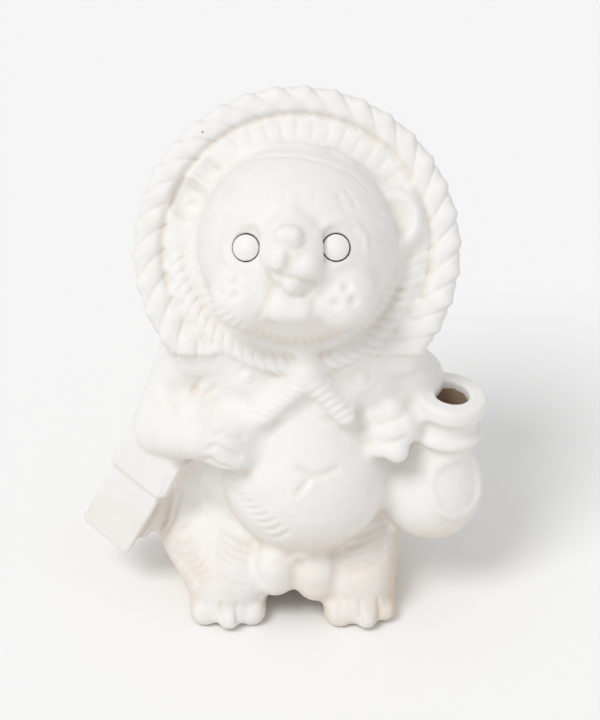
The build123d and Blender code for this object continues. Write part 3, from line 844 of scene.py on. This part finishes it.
def new_mesh(name, points, quads):
    """Smooth mesh in metres."""
    mesh = bpy.data.meshes.new(name)
    mesh.vertices.add(len(points))
    mesh.vertices.foreach_set("co", (points / MM).astype(np.float32).ravel())
    mesh.loops.add(quads.size)
    mesh.loops.foreach_set("vertex_index", quads.astype(np.int32).ravel())
    mesh.polygons.add(len(quads))
    mesh.polygons.foreach_set("loop_start", np.arange(0, quads.size, 4, dtype=np.int32))
    mesh.polygons.foreach_set("use_smooth", np.ones(len(quads), bool))
    mesh.update(calc_edges=True)
    return mesh


# Materials: colours, the scales of the slip's patterns, and the ranges that map each value to a tint,
# painted shade in the creases and on downward faces among them

# Each warm colour is both the slip's own warmer tone and the colour of the painted shade
WHITE = (0.86, 0.85, 0.83, 1)
WARM_SLIP_AND_SHADE = (0.72, 0.6, 0.47, 1)
WHITE_ROUGHNESS = 0.58
EYE_WHITE = (0.88, 0.87, 0.86, 1)
EYE_WARM_AND_SHADE = (0.74, 0.63, 0.52, 1)
EYE_ROUGHNESS = 0.45
CLAY = (0.4, 0.29, 0.2, 1)
DARK_CLAY_AND_SHADE = (0.16, 0.1, 0.07, 1)
CLAY_ROUGHNESS = 0.8
PORE_COLOUR = (0.16, 0.12, 0.1, 1)
CLOUD = {"Scale": 45.0, "Detail": 4.0}
MOTTLE = {"Scale": 320.0, "Detail": 6.0}
GRAIN = {"Scale": 1400.0, "Detail": 3.0}
PORES_SCALE = 75.0
SIDEWAYS = (0.5, 0.95)
# Painted shade on downward faces
UNDERSIDE_SHADE = (-0.05, -0.9, 0.0, 0.45)
GROUND_TINT = (0.034, 0.004, 0.0, 0.5)
THIN_SLIP = (0.42, 0.7)
THIN_TINT = (0, 1, 0, 0.08)
# Painted shade: the deeper a crease, the warmer and darker the slip
CREASE_SHADE = (0.05, 0.5, 0.0, 0.35)
MOTTLE_TINT = (0.35, 0.65, -0.06, 0.06)
PORE_SIZE = (0.026, 0.014)
PORE_CHANCE = (0.62, 0.66)
PORE_TINT = (0, 1, 0, 0.75)
MOTTLE_RANGE = (0.3, 0.7)
ROUGHNESS_SPREAD = 0.08
GRAIN_SHARE = 0.35
BUMP = {"Strength": 0.35, "Distance": 0.00012}
SHEEN_LEVEL = 0.3


def node(tree, kind, inputs=(), **settings):
    """New shader node with its settings and links."""
    made = tree.nodes.new(kind)
    for key, value in settings.items():
        setattr(made, key, value)
    for key, value in dict(inputs).items():
        if isinstance(value, bpy.types.NodeSocket):
            tree.links.new(value, made.inputs[key])
        else:
            made.inputs[key].default_value = value
    return made


def mapped(tree, value, start, end, low_value=0.0, high_value=1.0):
    """Value brought from one range to another, and held there."""
    ranges = {"From Min": start, "From Max": end, "To Min": low_value, "To Max": high_value}
    return node(tree, "ShaderNodeMapRange", {"Value": value, **ranges}).outputs[0]


def combined(tree, a, b, operation="ADD"):
    """Two values put together."""
    return node(tree, "ShaderNodeMath", {0: a, 1: b}, operation=operation).outputs[0]


def noise(tree, place, pattern):
    """Soft noise in the object's own space."""
    return node(tree, "ShaderNodeTexNoise", {"Vector": place, **pattern}).outputs["Fac"]


def split(tree, vector):
    """Outputs of a vector's three parts."""
    return node(tree, "ShaderNodeSeparateXYZ", {0: vector}).outputs


def blend(tree, share, a, b):
    """Mix of two colours."""
    mixed = node(tree, "ShaderNodeMix", data_type="RGBA")
    for socket, value in ((mixed.inputs[0], share), (mixed.inputs[6], a), (mixed.inputs[7], b)):
        if isinstance(value, bpy.types.NodeSocket):
            tree.links.new(value, socket)
        else:
            socket.default_value = value
    return mixed.outputs[2]


def slip(name, white, warm_and_shade, roughness):
    """Matte slip, warmer where it runs thin over the clay and towards the bottom, with pinholes, and warmer
    and darker with painted shade in the creases and on downward faces.
    """
    material = bpy.data.materials.new(name)
    material.use_nodes = True
    tree = material.node_tree
    shader = tree.nodes["Principled BSDF"]
    place = node(tree, "ShaderNodeTexCoord").outputs["Object"]
    normal = split(tree, node(tree, "ShaderNodeNewGeometry").outputs["Normal"])
    across = node(tree, "ShaderNodeMath", {0: normal[0]}, operation="ABSOLUTE").outputs[0]
    sideways = mapped(tree, across, *SIDEWAYS)
    cloud = noise(tree, place, CLOUD)
    mottle = noise(tree, place, MOTTLE)
    crease = node(tree, "ShaderNodeAttribute", attribute_name="crease").outputs["Fac"]
    # Painted shade: the more a face looks down, the warmer and darker the slip
    underside_shade = mapped(tree, normal[2], *UNDERSIDE_SHADE)
    lower = mapped(tree, split(tree, place)[2], *GROUND_TINT)
    thin = mapped(tree, cloud, *THIN_SLIP)
    tint_and_shade = combined(tree, underside_shade, combined(tree, lower, thin, "MULTIPLY"))
    tint_and_shade = combined(tree, tint_and_shade, mapped(tree, thin, *THIN_TINT))
    tint_and_shade = combined(tree, tint_and_shade, combined(tree, lower, sideways, "MULTIPLY"))
    # Painted shade: the deeper a crease, the warmer and darker the slip
    tint_and_shade = combined(tree, tint_and_shade, mapped(tree, crease, *CREASE_SHADE))
    tint_and_shade = combined(tree, tint_and_shade, mapped(tree, mottle, *MOTTLE_TINT))
    body = blend(tree, mapped(tree, tint_and_shade, 0, 1), white, warm_and_shade)
    cells = node(tree, "ShaderNodeTexVoronoi", {"Vector": place, "Scale": PORES_SCALE})
    spot = mapped(tree, cells.outputs["Distance"], *PORE_SIZE)
    chance = mapped(tree, split(tree, cells.outputs["Color"])[0], *PORE_CHANCE)
    pore = combined(tree, spot, chance, "MULTIPLY")
    colour = blend(tree, mapped(tree, pore, *PORE_TINT), body, PORE_COLOUR)
    tree.links.new(colour, shader.inputs["Base Color"])
    rough = mapped(tree, mottle, *MOTTLE_RANGE, roughness - ROUGHNESS_SPREAD, roughness + ROUGHNESS_SPREAD)
    tree.links.new(rough, shader.inputs["Roughness"])
    grain = combined(tree, noise(tree, place, GRAIN), GRAIN_SHARE, "MULTIPLY")
    relief = combined(tree, combined(tree, mottle, grain), pore, "SUBTRACT")
    bump = node(tree, "ShaderNodeBump", {"Height": relief, **BUMP})
    tree.links.new(bump.outputs[0], shader.inputs["Normal"])
    shader.inputs["Specular IOR Level"].default_value = SHEEN_LEVEL
    return material


white_slip = slip("white_slip", WHITE, WARM_SLIP_AND_SHADE, WHITE_ROUGHNESS)
eye_slip = slip("eye_slip", EYE_WHITE, EYE_WARM_AND_SHADE, EYE_ROUGHNESS)
bare_clay = slip("bare_clay", CLAY, DARK_CLAY_AND_SHADE, CLAY_ROUGHNESS)

# The form on a grid of half the fineness, whose softened field tells creases from ridges
halves = [n // 2 for n in shape]
small = form[: 2 * halves[0], : 2 * halves[1], : 2 * halves[2]]
small = small.reshape(halves[0], 2, halves[1], 2, halves[2], 2).mean(axis=(1, 3, 5))
small = soften(small, CREASE_ROUNDS)


def creases(points):
    """How deep in a crease each point lies."""
    return -interpolated(small, (points - low) / VOXEL / 2 - HALF_GRID_SHIFT)


def in_bore(points, quads):
    """Which faces of the bottle lie in its bore."""
    middle = points[quads].mean(axis=1) - BOTTLE_BASE
    along = middle @ BOTTLE_AXIS
    off = np.linalg.norm(middle - along[:, None] * BOTTLE_AXIS, axis=1)
    in_length = (along < BOTTLE_HEIGHT - BARE_BELOW_LIP) & (along > BARE_ABOVE_FOOT)
    return (off < BORE_R + BORE_MARGIN) & in_length


for name in cast_nodes:
    points, quads = piece_skin(name)
    mesh = new_mesh(name, points, quads)
    # Crease depth, which the slip turns into painted shade
    crease = mesh.attributes.new("crease", "FLOAT", "POINT")
    crease.data.foreach_set("value", creases(points).astype(np.float32))
    mesh.materials.append(white_slip)
    if name == "bottle":
        mesh.materials.append(bare_clay)
        mesh.polygons.foreach_set("material_index", in_bore(points, quads).astype(np.int32))
    piece = bpy.data.objects.new(f"cast_{name}", mesh)
    bpy.context.scene.collection.objects.link(piece)
    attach(piece, "figure")
    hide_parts(name)
for name in EYES:
    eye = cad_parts[name]
    eye.data.materials.clear()
    eye.data.materials.append(eye_slip)

# Floor, light and camera, in metres

FLOOR_REACH = 4.0
FLOOR_WHITE = (0.92, 0.92, 0.92, 1)
FLOOR_ROUGHNESS = 0.9
WORLD_WHITE = (1, 1, 1, 1)
WORLD_LIGHT = 0.66
KEY_LIGHT = 1.3
KEY_SOFTNESS = math.radians(25.0)
KEY_FROM = (-0.4, -0.42, 0.9)

corners = [(-1, -1), (1, -1), (1, 1), (-1, 1)]
floor_mesh = bpy.data.meshes.new("floor")
floor_mesh.from_pydata([(FLOOR_REACH * x, FLOOR_REACH * y, 0) for x, y in corners], [], [(0, 1, 2, 3)])
floor = bpy.data.objects.new("floor", floor_mesh)
bpy.context.scene.collection.objects.link(floor)
pale = bpy.data.materials.new("pale_floor")
pale.use_nodes = True
pale.node_tree.nodes["Principled BSDF"].inputs["Base Color"].default_value = FLOOR_WHITE
pale.node_tree.nodes["Principled BSDF"].inputs["Roughness"].default_value = FLOOR_ROUGHNESS
floor_mesh.materials.append(pale)

world = bpy.data.worlds.new("studio")
world.use_nodes = True
world.node_tree.nodes["Background"].inputs["Color"].default_value = WORLD_WHITE
world.node_tree.nodes["Background"].inputs["Strength"].default_value = WORLD_LIGHT
bpy.context.scene.world = world


def aim(thing, place):
    """Points a lamp or a camera at a place."""
    thing.rotation_euler = (Vector(place) - thing.location).to_track_quat("-Z", "Y").to_euler()


key = bpy.data.lights.new("key", "SUN")
key.angle = KEY_SOFTNESS
key.energy = KEY_LIGHT
key_object = bpy.data.objects.new("key", key)
key_object.location = KEY_FROM
bpy.context.scene.collection.objects.link(key_object)
aim(key_object, tuple(TARGET / MM))

camera = bpy.data.cameras.new("camera")
camera.sensor_fit = "VERTICAL"
camera.angle = 2 * math.atan(FRAME_H / 2 / FOCAL)
camera_object = bpy.data.objects.new("camera", camera)
camera_object.location = tuple(EYE / MM)
bpy.context.scene.collection.objects.link(camera_object)
aim(camera_object, tuple(TARGET / MM))
bpy.context.scene.camera = camera_object
bpy.context.scene.view_settings.view_transform = "Standard"
